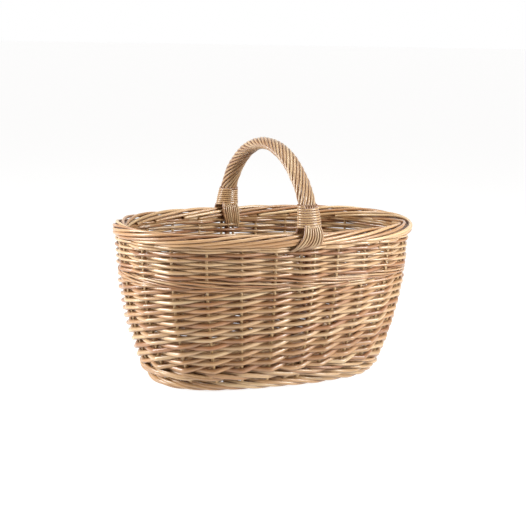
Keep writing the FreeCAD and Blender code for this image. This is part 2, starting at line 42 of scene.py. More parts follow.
rng = np.random.default_rng(20)
NST = 24

# ------------------------------------------------------------------ the oval wall, in mm
FOOT_L, FOOT_W, RIM_L, RIM_W = 172.0, 92.5, 223.8, 141.5
CURVE_H, CURVE_P, FULL = 235.0, 2.22, 0.88


def halves(z):
    w = 1.0 - (1.0 - np.clip(np.asarray(z, float) / CURVE_H, 0.0, 1.0)) ** CURVE_P
    return FOOT_L + (RIM_L - FOOT_L) * w, FOOT_W + (RIM_W - FOOT_W) * w


def oval(hl, hw, share, inset=0.0):
    """x, y and outward direction on a four-arc oval at a share of the perimeter from (0, -hw)."""
    hl, hw, share, inset = np.broadcast_arrays(np.asarray(hl, float), np.asarray(hw, float), np.asarray(share, float), np.asarray(inset, float))
    r = FULL * hw
    c = hl - r
    R = (c * c + hw * hw - r * r) / (2.0 * (hw - r))
    d = R - hw
    th = np.arctan2(d, c)
    r, R = r - inset, R - inset
    side, end = R * (np.pi / 2 - th), r * 2 * th
    s = (share % 1.0) * (4 * side + 2 * end)
    x, y, a = np.zeros_like(s), np.zeros_like(s), np.zeros_like(s)
    edges = [side, side + end, 3 * side + end, 3 * side + 2 * end]
    m = s < edges[0]
    an = -np.pi / 2 + s / R
    x, y, a = np.where(m, R * np.cos(an), x), np.where(m, d + R * np.sin(an), y), np.where(m, an, a)
    m = (s >= edges[0]) & (s < edges[1])
    an = -th + (s - edges[0]) / r
    x, y, a = np.where(m, c + r * np.cos(an), x), np.where(m, r * np.sin(an), y), np.where(m, an, a)
    m = (s >= edges[1]) & (s < edges[2])
    an = th + (s - edges[1]) / R
    x, y, a = np.where(m, R * np.cos(an), x), np.where(m, -d + R * np.sin(an), y), np.where(m, an, a)
    m = (s >= edges[2]) & (s < edges[3])
    an = np.pi - th + (s - edges[2]) / r
    x, y, a = np.where(m, -c + r * np.cos(an), x), np.where(m, r * np.sin(an), y), np.where(m, an, a)
    m = s >= edges[3]
    an = np.pi + th + (s - edges[3]) / R
    x, y, a = np.where(m, R * np.cos(an), x), np.where(m, d + R * np.sin(an), y), np.where(m, an, a)
    return x, y, np.cos(a), np.sin(a)


def wall(k, z, off, lean=True):
    """Points at stake position k (0 is the middle of the front, one per stake, anticlockwise from
    above), height z and distance off the wall's centre surface, with the wall's outward normals."""
    k, z, off = np.broadcast_arrays(np.asarray(k, float), np.asarray(z, float), np.asarray(off, float))
    hl, hw = halves(z)
    x, y, nx, ny = oval(hl, hw, k / NST)
    if lean:
        hl2, hw2 = halves(z + 1.0)
        x2, y2, _, _ = oval(hl2, hw2, k / NST)
        slope = np.clip((x2 - x) * nx + (y2 - y) * ny, 0.0, 1.5)
    else:
        slope = np.zeros_like(x)
    ln = np.sqrt(1.0 + slope ** 2)
    n = np.stack([nx / ln, ny / ln, -slope / ln], -1)
    return np.stack([x, y, z], -1) + n * off[..., None], n


# ------------------------------------------------------------------ rods
class Bundle:
    """Gathers rods into one mesh, with each rod's own length coordinate and tints."""

    def __init__(self):
        self.v, self.f, self.grain, self.tint, self.shade, self.n = [], [], [], [], [], 0

    def rod(self, p, radius, normal=None, sides=8, flat=1.0, tint=None, shade=None, seed=None, up=None, flank_shade=(0, 0, 0), core_shade=None):
        p = np.asarray(p, float)
        m = len(p)
        radius = np.broadcast_to(np.asarray(radius, float), (m,))
        flat = np.broadcast_to(np.asarray(flat, float), (m,))
        t = np.gradient(p, axis=0)
        t /= np.linalg.norm(t, axis=1, keepdims=True) + 1e-9
        if normal is None:
            ref = np.array([0.0, 0.0, 1.0]) if up is None else np.asarray(up, float)
            if abs(t[0] @ ref) > 0.9:
                ref = np.array([1.0, 0.0, 0.0])
            n = np.zeros((m, 3))
            cur = ref - t[0] * (ref @ t[0])
            cur /= np.linalg.norm(cur)
            n[0] = cur
            for i in range(1, m):
                cur = cur - t[i] * (cur @ t[i])
                cur /= np.linalg.norm(cur) + 1e-9
                n[i] = cur
        else:
            n = np.asarray(normal, float)
            n = n - t * np.sum(n * t, 1, keepdims=True)
            n /= np.linalg.norm(n, axis=1, keepdims=True) + 1e-9
        b = np.cross(t, n)
        run = np.concatenate([[0.0], np.cumsum(np.linalg.norm(np.diff(p, axis=0), axis=1))])
        if seed is None:
            seed = float(rng.uniform(0, 50))
        if tint is None:
            tint = rng.uniform(0, 1, 3)
        # slight lumps along the rod, so that it isn't a machine-made tube
        lump = 1.0 + 0.035 * np.sin(run / 17.0 + seed * 7) + 0.025 * np.sin(run / 6.3 + seed * 3)
        ang = np.arange(sides) * 2 * np.pi / sides
        ca, sa = np.cos(ang), np.sin(ang)
        rn = (radius * flat * lump)[:, None, None]
        rb = (radius * lump)[:, None, None]
        ring = p[:, None, :] + n[:, None, :] * ca[None, :, None] * rn + b[:, None, :] * sa[None, :, None] * rb
        v = np.concatenate([ring.reshape(-1, 3), p[:1], p[-1:]])
        g = np.concatenate([
            np.stack([np.repeat(run, sides), np.tile(ca, m) * np.repeat(radius, sides), np.tile(sa, m) * np.repeat(radius, sides)], -1),
            [[run[0], 0, 0]], [[run[-1], 0, 0]]])
        g = g * MM + np.array([seed, 0, 0])
        if shade is None:
            shade = np.zeros(m)
        shade = np.broadcast_to(np.asarray(shade, float), (m,))
        # painted shade: the flanks where a rod touches its neighbours, and with the third weight its inner side, are
        # darkened as if in shadow
        flank_painted_shade = flank_shade[0] * smooth(0.25, 0.97, -sa) + flank_shade[1] * smooth(0.25, 0.97, sa) + flank_shade[2] * smooth(0.1, 0.9, -ca)
        vshade = shade[:, None] + flank_painted_shade[None, :]
        # painted shade from a per-vertex function, darkening the parts of a rod that lie inside a border
        if core_shade is not None:
            vshade = vshade + core_shade(ring)
        i = np.arange(m - 1)[:, None] * sides
        j = np.arange(sides)[None, :]
        jn = (j + 1) % sides
        quads = np.stack([i + j, i + jn, i + sides + jn, i + sides + j], -1).reshape(-1, 4) + self.n
        c0, c1 = self.n + m * sides, self.n + m * sides + 1
        jj = np.arange(sides)
        j2 = (jj + 1) % sides
        cap0 = np.stack([np.full(sides, c0), self.n + j2, self.n + jj], -1)
        last = self.n + (m - 1) * sides
        cap1 = np.stack([np.full(sides, c1), last + jj, last + j2], -1)
        self.v.append(v)
        self.f.extend(quads.tolist())
        self.f.extend(cap0.tolist())
        self.f.extend(cap1.tolist())
        self.grain.append(g)
        self.tint.append(np.tile(tint, (len(v), 1)))
        self.shade.append(np.concatenate([vshade.ravel(), vshade[:1, 0], vshade[-1:, 0]]))
        self.n += len(v)

    def make(self, name, material, slot, replaces=()):
        v = np.concatenate(self.v) * MM
        me = bpy.data.meshes.new(name)
        me.from_pydata(v.tolist(), [], self.f)
        me.update()
        a = me.attributes.new("grain", "FLOAT_VECTOR", "POINT")
        a.data.foreach_set("vector", np.concatenate(self.grain).astype(np.float32).ravel())
        a = me.attributes.new("tint", "FLOAT_VECTOR", "POINT")
        a.data.foreach_set("vector", np.concatenate(self.tint).astype(np.float32).ravel())
        a = me.attributes.new("shade", "FLOAT", "POINT")
        a.data.foreach_set("value", np.concatenate(self.shade).astype(np.float32))
        me.polygons.foreach_set("use_smooth", np.array([len(q) == 4 for q in self.f], bool))
        me.update()
        o = bpy.data.objects.new(name, me)
        bpy.context.scene.collection.objects.link(o)
        o.data.materials.append(material)
        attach(o, "root")
        if replaces:
            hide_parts(*replaces)
        return o


def smooth(a, b, x):
    t = np.clip((np.asarray(x, float) - a) / (b - a), 0, 1)
    return t * t * (3 - 2 * t)


def curve_through(u, vals, at):
    """Monotone-ish cubic through control points."""
    u, vals = np.asarray(u, float), np.asarray(vals, float)
    d = np.diff(vals) / np.diff(u)
    m = np.zeros_like(vals)
    m[1:-1] = (d[:-1] + d[1:]) / 2
    m[0], m[-1] = d[0], d[-1]
    flat = np.zeros_like(m, bool)
    flat[1:-1] = d[:-1] * d[1:] <= 0
    m = np.where(flat, m * 0.35, m)
    i = np.clip(np.searchsorted(u, at) - 1, 0, len(u) - 2)
    h = u[i + 1] - u[i]
    t = (at - u[i]) / h
    return ((2 * t ** 3 - 3 * t ** 2 + 1) * vals[i] + (t ** 3 - 2 * t ** 2 + t) * h * m[i]
            + (-2 * t ** 3 + 3 * t ** 2) * vals[i + 1] + (t ** 3 - t ** 2) * h * m[i + 1])


def wander(n, step, size):
    """Smooth random wandering, one value per sample."""
    knots = rng.normal(0, size, int(n / step) + 4)
    x = np.arange(n) / step + 1
    i = x.astype(int)
    f = x - i
    f = f * f * (3 - 2 * f)
    return knots[i] * (1 - f) + knots[i + 1] * f


# ------------------------------------------------------------------ material
def willow(name, light=(0.66, 0.485, 0.275), mid=(0.46, 0.26, 0.115), dark=(0.25, 0.092, 0.034), rough=0.34, coat=0.6, deep=0.93, bump=0.4):
    mat = bpy.data.materials.new(name)
    mat.use_nodes = True
    nt = mat.node_tree
    nt.nodes.clear()
    N = nt.nodes.new
    L = nt.links.new
    out = N("ShaderNodeOutputMaterial")
    bs = N("ShaderNodeBsdfPrincipled")
    L(bs.outputs["BSDF"], out.inputs["Surface"])
    bs.inputs["IOR"].default_value = 1.5
    bs.inputs["Coat Weight"].default_value = coat
    bs.inputs["Coat Roughness"].default_value = 0.24
    grain = N("ShaderNodeAttribute")
    grain.attribute_name = "grain"
    tint = N("ShaderNodeAttribute")
    tint.attribute_name = "tint"
    shade = N("ShaderNodeAttribute")
    shade.attribute_name = "shade"
    sep = N("ShaderNodeSeparateXYZ")
    L(tint.outputs["Vector"], sep.inputs[0])

    def noise(scale, detail=2.0, roughness=0.5, sc=1.0):
        mp = N("ShaderNodeMapping")
        mp.inputs["Scale"].default_value = scale
        L(grain.outputs["Vector"], mp.inputs["Vector"])
        nz = N("ShaderNodeTexNoise")
        nz.inputs["Scale"].default_value = sc
        nz.inputs["Detail"].default_value = detail
        nz.inputs["Roughness"].default_value = roughness
        L(mp.outputs[0], nz.inputs["Vector"])
        return nz.outputs["Fac"]

    def math_node(op, a, b=None, c=None, clamp=False):
        m = N("ShaderNodeMath")
        m.operation = op
        m.use_clamp = clamp
        for q, val in enumerate((a, b, c)):
            if val is None:
                continue
            if isinstance(val, (int, float)):
                m.inputs[q].default_value = val
            else:
                L(val, m.inputs[q])
        return m.outputs[0]

    def mix(fac, a, b, mode="MIX"):
        m = N("ShaderNodeMix")
        m.data_type = "RGBA"
        m.blend_type = mode
        for sock, val in ((m.inputs[0], fac), (m.inputs[6], a), (m.inputs[7], b)):
            if isinstance(val, (int, float)):
                sock.default_value = val
            elif isinstance(val, tuple):
                sock.default_value = (*val, 1.0)
            else:
                L(val, sock)
        return m.outputs[2]

    streak = noise((35.0, 900.0, 900.0), 3.0, 0.6)
    fine = noise((90.0, 2600.0, 2600.0), 2.0, 0.6)
    blotch = noise((14.0, 60.0, 60.0), 3.0, 0.55)
    freck = noise((160.0, 420.0, 420.0), 1.0, 0.4)
    # which rod: pale cream to brown
    rodtone = math_node("ADD", math_node("MULTIPLY", sep.outputs["X"], 0.75), math_node("MULTIPLY", blotch, 0.55))
    rodtone = math_node("SUBTRACT", rodtone, 0.12, clamp=True)
    ramp = N("ShaderNodeValToRGB")
    cr = ramp.color_ramp
    cr.elements[0].position = 0.0
    cr.elements[0].color = (*light, 1)
    cr.elements[1].position = 1.0
    cr.elements[1].color = (*dark, 1)
    e = cr.elements.new(0.52)
    e.color = (*mid, 1)
    e = cr.elements.new(0.25)
    e.color = (*[0.55 * a + 0.45 * b for a, b in zip(light, mid)], 1)
    L(rodtone, ramp.inputs[0])
    col = ramp.outputs[0]
    # reddish or greenish lean of single rods
    col = mix(math_node("MULTIPLY", sep.outputs["Y"], 0.28), col, tuple(a * b for a, b in zip(mid, (1.12, 0.84, 0.72))))
    # fibres along the rod
    s1 = N("ShaderNodeMapRange")
    s1.inputs["From Min"].default_value = 0.35
    s1.inputs["From Max"].default_value = 0.72
    L(streak, s1.inputs["Value"])
    col = mix(math_node("MULTIPLY", s1.outputs[0], 0.42), col, tuple(a * 0.62 for a in mid))
    s2 = N("ShaderNodeMapRange")
    s2.inputs["From Min"].default_value = 0.55
    s2.inputs["From Max"].default_value = 0.8
    L(fine, s2.inputs["Value"])
    col = mix(math_node("MULTIPLY", s2.outputs[0], 0.30), col, tuple(min(1, a * 1.35) for a in light))
    # small bud scars
    s3 = N("ShaderNodeMapRange")
    s3.inputs["From Min"].default_value = 0.72
    s3.inputs["From Max"].default_value = 0.78
    L(freck, s3.inputs["Value"])
    col = mix(math_node("MULTIPLY", s3.outputs[0], 0.55), col, (0.13, 0.055, 0.02))
    # painted shade: what lies deep in the weave or on a rod's shadowed flanks, by the shade attribute, is darkened and
    # browner
    painted_shade_fac = math_node("MULTIPLY", shade.outputs["Fac"], deep, clamp=True)
    col = mix(painted_shade_fac, col, tuple(a * b for a, b in zip(dark, (0.52, 0.40, 0.36))))
    L(col, bs.inputs["Base Color"])
    rg = math_node("ADD", rough - 0.10, math_node("MULTIPLY", streak, 0.22))
    rg = math_node("ADD", rg, math_node("MULTIPLY", shade.outputs["Fac"], 0.12), clamp=True)
    L(rg, bs.inputs["Roughness"])
    bp = N("ShaderNodeBump")
    bp.inputs["Strength"].default_value = bump
    bp.inputs["Distance"].default_value = 0.0004
    h = math_node("ADD", math_node("MULTIPLY", streak, 0.8), math_node("MULTIPLY", fine, 0.3))
    h = math_node("ADD", h, math_node("MULTIPLY", freck, 0.35))
    L(h, bp.inputs["Height"])
    L(bp.outputs[0], bs.inputs["Normal"])
    return mat


M_SIDE = willow("willow_side")
M_UPPER = willow("willow_upper", light=(0.70, 0.52, 0.30))
M_RIM = willow("willow_rim", light=(0.72, 0.53, 0.31), rough=0.38)
M_STAKE = willow("willow_stake", light=(0.70, 0.49, 0.27), mid=(0.56, 0.35, 0.16), rough=0.42)
M_FOOT = willow("willow_foot", light=(0.66, 0.48, 0.275), mid=(0.46, 0.27, 0.12))
M_BASE = willow("willow_base", light=(0.62, 0.42, 0.22), mid=(0.46, 0.28, 0.13), rough=0.48, coat=0.2)
M_STICK = willow("willow_stick", light=(0.55, 0.35, 0.17), mid=(0.40, 0.23, 0.10), rough=0.50, coat=0.15)
M_ROPE = willow("willow_rope", light=(0.60, 0.45, 0.265), mid=(0.42, 0.27, 0.135), rough=0.38)
M_SKEIN = willow("willow_skein", light=(0.60, 0.42, 0.24), mid=(0.44, 0.265, 0.12), rough=0.28, coat=0.6)
M_CORE = willow("willow_core", light=(0.42, 0.25, 0.11), mid=(0.32, 0.17, 0.07), rough=0.5, coat=0.1)

# ------------------------------------------------------------------ stakes and the handle's standing rods
STAKE_R = 2.1
HS = 10.0                                  # the stake beside each handle leg stands this far off it
PER200 = 51.3
stake_k = np.arange(NST, dtype=float)
stake_k[0] += HS / PER200
stake_k[12] += HS / PER200
# what the weavers go round, at each stake: centre and half width in stakes
GROUP = {0: (0.0, 0.20), 12: (0.0, 0.20)}


def warp(k):
    """Flattens the weavers' wave where it passes the wider group of rods at the handle."""
    k = np.asarray(k, float)
    near = (k + 6) % 12 - 6                # distance from stake 0 or 12
    a = np.abs(near)
    s = np.where(a < 0.24, a * 0.35, np.where(a < 0.62, 0.084 + (a - 0.24) * (0.62 - 0.084) / 0.38, a))
    return k - near + np.sign(near) * s


def group_extra(k, z):
    near = np.abs((np.asarray(k, float) + 6) % 12 - 6)
    return 2.6 * (1 - smooth(0.22, 0.5, near)) * smooth(122, 170, z)


stakes = Bundle()
for i in range(NST):
    zz = np.concatenate([np.linspace(34, 219, 40)])
    p, n = wall(np.full(len(zz), stake_k[i]), zz, 0.0)
    if i in (0, 12):
        sx = HS if i == 0 else -HS
        p, n = wall(np.full(len(zz), float(i)), zz, 0.0)
        p[:, 0] += sx
    lo = p[0]
    t = p[1] - p[0]
    out = np.array([t[0], t[1], 0.0])
    if np.linalg.norm(out) < 0.05:
        out = np.array([n[0][0], n[0][1], 0.0])
    out /= np.linalg.norm(out)
    tilt = math.atan2(t[2], math.hypot(t[0], t[1]))
    zb, rho = 13.2, 13.0
    run = (lo[2] - (zb + rho * (1 - math.cos(tilt)))) / math.sin(tilt)
    b1 = lo - t / np.linalg.norm(t) * run
    ang = np.linspace(0, tilt, 8)
    bend = np.array([b1 + out * rho * (math.sin(a) - math.sin(tilt)) + np.array([0, 0, rho * (math.cos(tilt) - math.cos(a))]) for a in ang])
    butt = np.array([bend[0] - out * q for q in np.linspace(26, 4, 5)])
    line = np.concatenate([butt, bend, p])
    rad = STAKE_R * (1.04 - 0.06 * np.linspace(0, 1, len(line)))
    stakes.rod(line, rad, sides=10, tint=np.array([rng.uniform(0.0, 0.35), rng.uniform(0, 0.3), 0.5]))
stakes.make("stake_rods", M_STAKE, "stakes", ["side_stakes"])

# ------------------------------------------------------------------ weaving
def stations(lo, hi):
    """Sample places along a weaver, crowded where it bends round a stake."""
    steps = np.array([0.0, 0.022, 0.05, 0.09, 0.15, 0.24, 0.36, 0.5, 0.64, 0.76, 0.85, 0.91, 0.95, 0.978])
    all_ = (np.arange(math.floor(lo), math.ceil(hi) + 1)[:, None] + steps[None, :]).ravel()
    all_ = all_[(all_ > lo + 0.01) & (all_ < hi - 0.01)]
    return np.concatenate([[lo], all_, [hi]])


def zigzag(k, bend=0.045):
    """+1 at even stakes and -1 at odd ones: nearly straight between stakes, bent tightly over each."""
    k = np.asarray(k, float)
    d = np.abs(k - np.round(k))
    top = math.sqrt(0.25 + bend * bend) - bend
    v = 1.0 - (np.sqrt(d * d + bend * bend) - bend) / top
    return np.where(np.round(k).astype(int) % 2 == 0, v, -v)


def deep_shade(k, off, z):
    """Painted shade: how deep in the weave a point is, seen from the nearer face; rods are painted darkest at mid wall.
    """
    return 1.0 - smooth(0.0, 5.0, np.abs(off))


# lower side: French rand
ROUNDS = 22.0
lower_a, lower_b = Bundle(), Bundle()
for j in range(NST):
    u0, u1 = -0.92, ROUNDS + rng.uniform(0.9, 2.6)
    u = stations(u0, u1)
    m = len(u)
    k = j + u
    fat = rng.normal(1.0, 0.06)
    uc = np.clip(u, 0, ROUNDS)
    z = 35.4 + (12.5 * uc - 3.0 * uc ** 2 / (2 * ROUNDS)) / 2
    z = z + np.where(u < 0, 1.6 * u, 0) + np.where(u > ROUNDS, (u - ROUNDS) * 1.6, 0)
    z = z + wander(m, 26, 0.34) * smooth(0, 1.5, u) * (1 - smooth(ROUNDS - 1.5, ROUNDS, u))
    r = 3.75 * fat * (1 - 0.24 * np.clip(u / ROUNDS, 0, 1) ** 1.1)
    r = r * (1 - 0.40 * smooth(ROUNDS - 2.0, ROUNDS + 2.0, u))
    s = zigzag(warp(k)) * (1 if j % 2 == 0 else -1)    # outside at even u
    amp = STAKE_R + r + 0.05 + group_extra(k, z) + wander(m, 11, 0.22)
    off = s * amp
    # the rod leaning up on its way out, down on its way in: scaled by zero, so it has no effect
    z = z + 0.35 * np.sin(np.pi * (k - j)) * 0.0
    p, n = wall(k, z, off)
    target = lower_a if j % 2 else lower_b
    # painted shade on each rod's upper and lower flanks
    target.rod(p, r, normal=n, sides=10, flank_shade=(0.55, 1.0, 0))
lower_a.make("lower_rand_rods_a", M_SIDE, "lower_rand", ["lower_rand_bottom", "lower_rand_middle", "lower_rand_top"])
lower_b.make("lower_rand_rods_b", M_SIDE, "lower_rand")


def three_rod_wale(bundle, z0, rise, rounds, r, amp_out, amp_z, start=0.0, tone=(0.0, 1.0), piece=16.0, steps=12, jumble=0.18):
    """Three weavers, each outside two stakes and inside one, twisting round each other."""
    us = np.array([0, .5, 1, 1.5, 2, 2.5, 3.0])
    oz = np.array([0, 1.05, 1.0, 0, -1.0, -1.05, 0]) * amp_z
    total = NST * rounds
    for w in range(3):
        cuts = [0.0]
        while cuts[-1] < total:
            cuts.append(min(total, cuts[-1] + 3 * max(2, round(rng.uniform(piece - 4, piece + 4) / 3))))
        for a, b in zip(cuts[:-1], cuts[1:]):
            lo, hi = a - 0.35, b + 0.35
            m = max(8, int((hi - lo) * steps))
            q = np.linspace(lo, hi, m)
            k = start + w + q
            ph = q % 3.0
            fat = rng.normal(1.0, 0.06)
            rr = r * fat * (1.06 - 0.16 * (q - lo) / (hi - lo))
            A = STAKE_R + rr + 0.1
            of = np.array([-1.0, -0.12, 1.0, 1.0 + amp_out, 1.0, -0.12, -1.0])
            off = np.interp(ph, us, of)
            # rounded version of the same wave
            off = curve_periodic(us, of, ph) * (A + group_extra(k, z0 + rise * (q + w) / NST))
            z = z0 + rise * (w + q) / NST + curve_periodic(us, oz, ph) + wander(m, 25, jumble)
            p, n = wall(k, z, off)
            tint = np.array([rng.uniform(*tone), rng.uniform(0, 1), rng.uniform(0, 1)])
            # painted shade: darker at mid wall and on the rods' flanks
            bundle.rod(p, rr, normal=n, sides=9, tint=tint, shade=0.3 * deep_shade(k, off, z), flank_shade=(0.4, 0.8, 0))


def curve_periodic(us, vals, at):
    """Cubic through a period of control points, closed on itself."""
    n = len(us) - 1
    ext_u = np.concatenate([us[:-1] - us[-1], us, us[1:] + us[-1]])
    ext_v = np.concatenate([vals[:-1], vals, vals[1:]])
    return curve_through(ext_u, ext_v, at)


wale = Bundle()
three_rod_wale(wale, 16.2, 10.1, 1.0, 2.7, 0.24, 2.3, start=0.0)
three_rod_wale(wale, 26.6, 1.2, 1.0, 2.5, 0.26, 2.30, start=7.0)
wale.make("upsett_wale_rods", M_FOOT, "wale", ["upsett_wale"])

midw = Bundle()
three_rod_wale(midw, 159.4, 3.4, 1.0, 1.6, 0.0, 1.5, start=5.0, tone=(0.3, 1.0), piece=9.0, jumble=0.75)
three_rod_wale(midw, 166.0, 1.6, 1.0, 1.6, 0.0, 1.5, start=13.0, tone=(0.2, 1.0), piece=9.0, jumble=0.75)
midw.make("middle_wale_rods", M_UPPER, "middle_wale", ["middle_wale"])

# upper side: two weavers chasing each other, always on opposite sides of a stake
upper_a, upper_b = Bundle(), Bundle()
ROW, NROW = 4.36, 10
for w, target in ((0, upper_a), (1, upper_b)):
    total = NST * (NROW / 2) + 10
    cuts = [-12.0]
    while cuts[-1] < total:
        cuts.append(min(total, cuts[-1] + 2 * round(rng.uniform(9, 14))))
    for a, b in zip(cuts[:-1], cuts[1:]):
        lo, hi = a - 0.45, b + 0.45
        q = stations(lo, hi)
        m = len(q)
        k = 5.0 - w * 12.0 + q
        z = 171.6 + ROW * (0.6 + 2 * q / NST)
        z = np.clip(z, 173.0, 214.6) + wander(m, 18, 0.28)
        fat = rng.normal(1.0, 0.07)
        r = 2.5 * fat * (1.08 - 0.2 * (q - lo) / (hi - lo))
        s = zigzag(warp(k)) * (1 if w == 0 else -1)
        off = s * (STAKE_R + r + 0.1 + group_extra(k, z) + wander(m, 9, 0.15))
        p, n = wall(k, z, off)
        # painted shade on each rod's upper and lower flanks
        target.rod(p, r, normal=n, sides=10, flank_shade=(0.6, 1.0, 0))
upper_a.make("upper_rand_rods_a", M_UPPER, "upper_rand", ["upper_rand"])
upper_b.make("upper_rand_rods_b", M_UPPER, "upper_rand")

# ------------------------------------------------------------------ rim border
rim_a, rim_b = Bundle(), Bundle()
RU = np.array([-0.05, 0.0, 0.14, 0.5, 1.0, 1.5, 2.0, 2.5, 3.0, 4.0, 4.6, 5.1, 5.6, 6.2, 7.0, 7.8, 8.3])
RZ = np.array([208.0, 213.0, 217.0, 218.4, 219.2, 219.2, 218.9, 220.3, 222.6, 227.6, 231.0, 232.6, 232.2, 229.6, 225.6, 221.4, 219.0])
RO = np.array([0.0, 0.0, -0.6, -3.2, -6.0, -0.8, 5.6, 7.6, 8.0, 7.9, 5.6, 1.6, -2.6, -6.4, -8.2, -8.2, -8.0])
for i in range(NST):
    end = 8.0 + rng.uniform(-0.25, 0.25)
    u = np.linspace(-0.05, end, int(13 * end))
    z = curve_through(RU, RZ, u) + wander(len(u), 20, 0.25)
    off = curve_through(RU, RO, u) + wander(len(u), 20, 0.2)
    k = stake_k[i] + np.where(u < 0.14, u * 0.4, u - 0.084)
    fat = rng.normal(1.0, 0.05)
    r = 2.55 * fat * (1 - 0.16 * u / 8.0)
    r = np.where(u < 0.2, np.minimum(r, 2.2), r)
    p, n = wall(k, z, off, lean=False)
    base_p = p - n * off[:, None]
    target = rim_a if i % 2 else rim_b

    # painted shade: the parts of each rod lying near the border's centre, between its neighbours, are darkened
    def rim_core_shade(ring, base_p=base_p, n=n):
        o_ = np.sum((ring - base_p[:, None, :]) * n[:, None, :], -1)
        d_ = np.hypot(o_, (ring[:, :, 2] - 225.0) * 1.02)
        return 0.95 * (1 - smooth(5.6, 9.6, d_))
    target.rod(p, r, normal=None, sides=12, core_shade=rim_core_shade)
# the passages inside the border, where the rods lie packed against each other; painted shade darkens them throughout
for o_in in (-3.4, 0.0, 3.4):
    kk = np.linspace(0, NST + 0.3, 260)
    p, n = wall(kk, np.full(260, 223.6), o_in, lean=False)
    rim_b.rod(p, 2.7, sides=8, shade=0.75)
rim_a.make("rim_border_rods_a", M_RIM, "rim", ["rim_border"])
rim_b.make("rim_border_rods_b", M_RIM, "rim")

# ------------------------------------------------------------------ foot border
foot = Bundle()
FU = np.array([-0.2, 0.0, 0.35, 0.8, 1.4, 1.9, 2.3, 2.7, 3.2, 3.6])
FZ = np.array([13.2, 13.0, 12.2, 10.0, 7.2, 4.4, 3.3, 3.9, 6.8, 10.2])
FO = np.array([-3.0, -1.5, 3.0, 5.2, 5.6, 3.8, 0.2, -3.0, -4.6, -4.2])
NF = 28
for i in range(NF):
    u = np.linspace(-0.2, 3.55, 46)
    z = curve_through(FU, FZ, u)
    off = curve_through(FU, FO, u)
    k = i * NST / NF + u
    r = 3.25 * rng.normal(1.0, 0.05) * (1 - 0.14 * u / 3.5)
    p, n = wall(k, np.zeros_like(z), 0.0, lean=False)
    p = p + n * off[:, None]
    p[:, 2] = np.maximum(z + wander(len(u), 14, 0.2), r + 0.1)
    base_p = p - n * off[:, None]

    # painted shade: the parts of each rod lying near the border's centre, between its neighbours, are darkened
    def foot_core_shade(ring, base_p=base_p, n=n):
        o_ = np.sum((ring - base_p[:, None, :]) * n[:, None, :], -1)
        return 0.9 * (1 - smooth(4.4, 8.2, np.hypot(o_, (ring[:, :, 2] - 7.5) * 1.1)))
    foot.rod(p, r, sides=12, core_shade=foot_core_shade)
foot.make("foot_border_rods", M_FOOT, "foot", ["foot_border"])

# ------------------------------------------------------------------ base
BL, BW, BZ = 170.0, 90.8, 19.0
cross_x = [17.5 + 35 * q for q in range(-4, 4)]
sticks = Bundle()
for x in cross_x:
    xs, ys, _, _ = oval(BL - 3, BW - 3, np.linspace(0, 1, 2000))
    reach = np.interp(abs(x), xs[1000:1500][::-1] if False else np.sort(xs[:500]), -ys[:500][np.argsort(xs[:500])])
    yy = np.linspace(-reach, reach, 14)
    sticks.rod(np.stack([np.full(14, x), yy, np.full(14, BZ)], -1), 3.5, sides=12, up=(0, 0, 1))
sticks.make("base_cross_rods", M_STICK, "sticks", ["base_cross_sticks"])
longs = Bundle()
for q in range(4):
    xx = np.linspace(-158, 158, 30)
    longs.rod(np.stack([xx, np.full(30, (q - 1.5) * 8.0), np.full(30, BZ)], -1), 3.0, sides=12, flat=0.66, normal=np.tile([0, 0, 1.0], (30, 1)))
longs.make("base_long_rods", M_STICK, "sticks", ["base_long_sticks"])

base_a = Bundle()
rows = 15
for m_ in range(rows):
    inset = -1.5 + m_ * 5.2
    sh = np.linspace(0, 1, 1441)
    x, y, nx, ny = oval(BL, BW, sh, inset)
    # where the row crosses a stick
    cross_at = []
    for x0 in cross_x:
        for sgn in (-1, 1):
            hit = np.where((np.sign(x[:-1] - x0) != np.sign(x[1:] - x0)) & (np.sign(y[:-1]) == sgn))[0]
            cross_at += [sh[h] for h in hit[:1]]
    for y0 in (-12, -4, 4, 12):
        for sgn in (-1, 1):
            hit = np.where((np.sign(y[:-1] - y0) != np.sign(y[1:] - y0)) & (np.sign(x[:-1]) == sgn) & (np.abs(x[:-1]) < 160))[0]
            cross_at += [sh[h] for h in hit[:1]]
    cross_at = np.array(sorted(cross_at))
    if len(cross_at) % 2:
        cross_at = cross_at[:-1]
    sign = np.where(np.arange(len(cross_at)) % 2 == 0, 1.0, -1.0) * (1 if m_ % 2 else -1)
    ph = np.interp(sh, np.concatenate([[cross_at[-1] - 1], cross_at, [cross_at[0] + 1]]), np.arange(-1, len(cross_at) + 1))
    wv = np.cos(np.pi * ph) * sign[0]
    rr = 2.75 * rng.normal(1, 0.03)
    z = BZ + np.sign(wv) * np.abs(wv) ** 0.8 * (3.5 + 1.6)
    p = np.stack([x, y, z], -1)[::3]
    half = len(p) // 2
    for a, b in ((0, half + 3), (half - 3, len(p))):
        seg = p[a:b]
        # painted shade: rows darkened where they pass the weave's mid-plane, between the sticks
        base_a.rod(seg, rr * (1.05 - 0.12 * np.linspace(0, 1, len(seg))), sides=8, up=(0, 0, 1), shade=0.5 * (1 - smooth(0, 4.5, np.abs(seg[:, 2] - BZ))))
base_a.make("base_weave_rods", M_BASE, "base", ["base_weave"])

# ------------------------------------------------------------------ handle
SPRING, TOP, SHO = 236.0, 348.0, 88.0
INS = RIM_W - SHO
RISE = TOP - SPRING
CROWN = (INS ** 2 + RISE ** 2 - SHO ** 2) / (2 * (RISE - SHO))
CZ = TOP - CROWN
TURN = math.atan2(SPRING - CZ, INS)
LEN_SH = SHO * TURN
LEN_CR = CROWN * (math.pi - 2 * TURN)
ARCH = 2 * LEN_SH + LEN_CR


